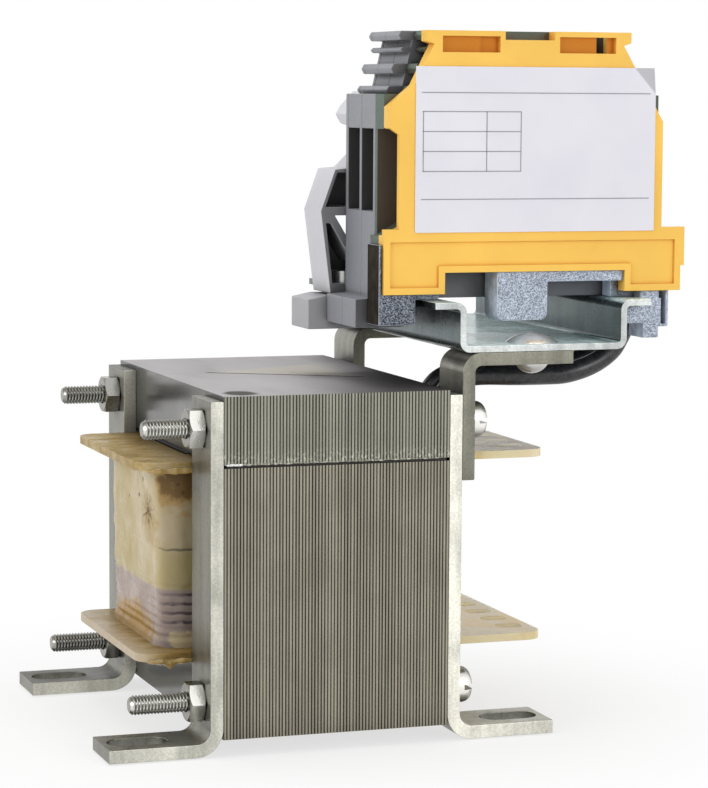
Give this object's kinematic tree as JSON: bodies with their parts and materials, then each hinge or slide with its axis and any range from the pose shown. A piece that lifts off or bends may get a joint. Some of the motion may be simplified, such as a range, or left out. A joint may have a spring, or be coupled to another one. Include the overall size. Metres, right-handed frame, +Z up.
{
  "type": "line reactor",
  "caption": "Line reactor: a laminated iron core with a taped coil on slotted steel feet, with screw terminals and an earth terminal on a short mounting rail beside its top.",
  "frame": {"origin": "on the floor, midway between the four foot slots", "axes": "+X along the stack of laminations towards the side with the rail, +Y from the labelled front to the back, +Z up"},
  "size_m": [0.0947, 0.06, 0.106],
  "materials": {
    "lamination": "varnished, satin",
    "spacer": "matte",
    "fibre": "varnished",
    "copper": "enamelled",
    "tape": "wrinkled, varnished",
    "zinc": "zinc plated, satin",
    "rail_zinc": "blue zinc plated",
    "foot_zinc": "mottled zinc",
    "yellow_plastic": "moulded",
    "green_plastic": "moulded",
    "grey_plastic": "moulded",
    "pale_plastic": "moulded",
    "brass": "bright",
    "steel": "plated",
    "sleeve": "satin",
    "label": "smooth"
  },
  "bodies": {
    "root": {"e_core": "lamination", "i_yoke": "lamination", "gap_spacer": "spacer", "bobbin": "fibre", "winding": "copper", "coil_wrap": "tape", "foot_strip_front_left": "zinc", "foot_strip_front_right": "zinc", "foot_strip_rear_left": "zinc", "foot_strip_rear_right": "zinc", "through_bolts": "zinc", "hex_nuts": "zinc", "rail_bracket_front": "zinc", "rail_bracket_rear": "zinc", "mounting_rail": "rail_zinc", "rail_rivets": "zinc", "earth_front": "yellow_plastic", "earth_rear": "green_plastic", "earth_foot": "foot_zinc", "earth_bar": "brass", "earth_cages": "steel", "terminal_front": "grey_plastic", "terminal_rear": "grey_plastic", "terminal_cover": "grey_plastic", "terminal_bars": "brass", "terminal_cages": "steel", "cage_screws": "steel", "end_clamp": "pale_plastic", "end_clamp_jaw": "grey_plastic", "end_clamp_screw": "steel", "lead_front": "sleeve", "lead_rear": "sleeve", "lead_ferrules": "steel", "rating_label": "label"}
  },
  "joints": []
}
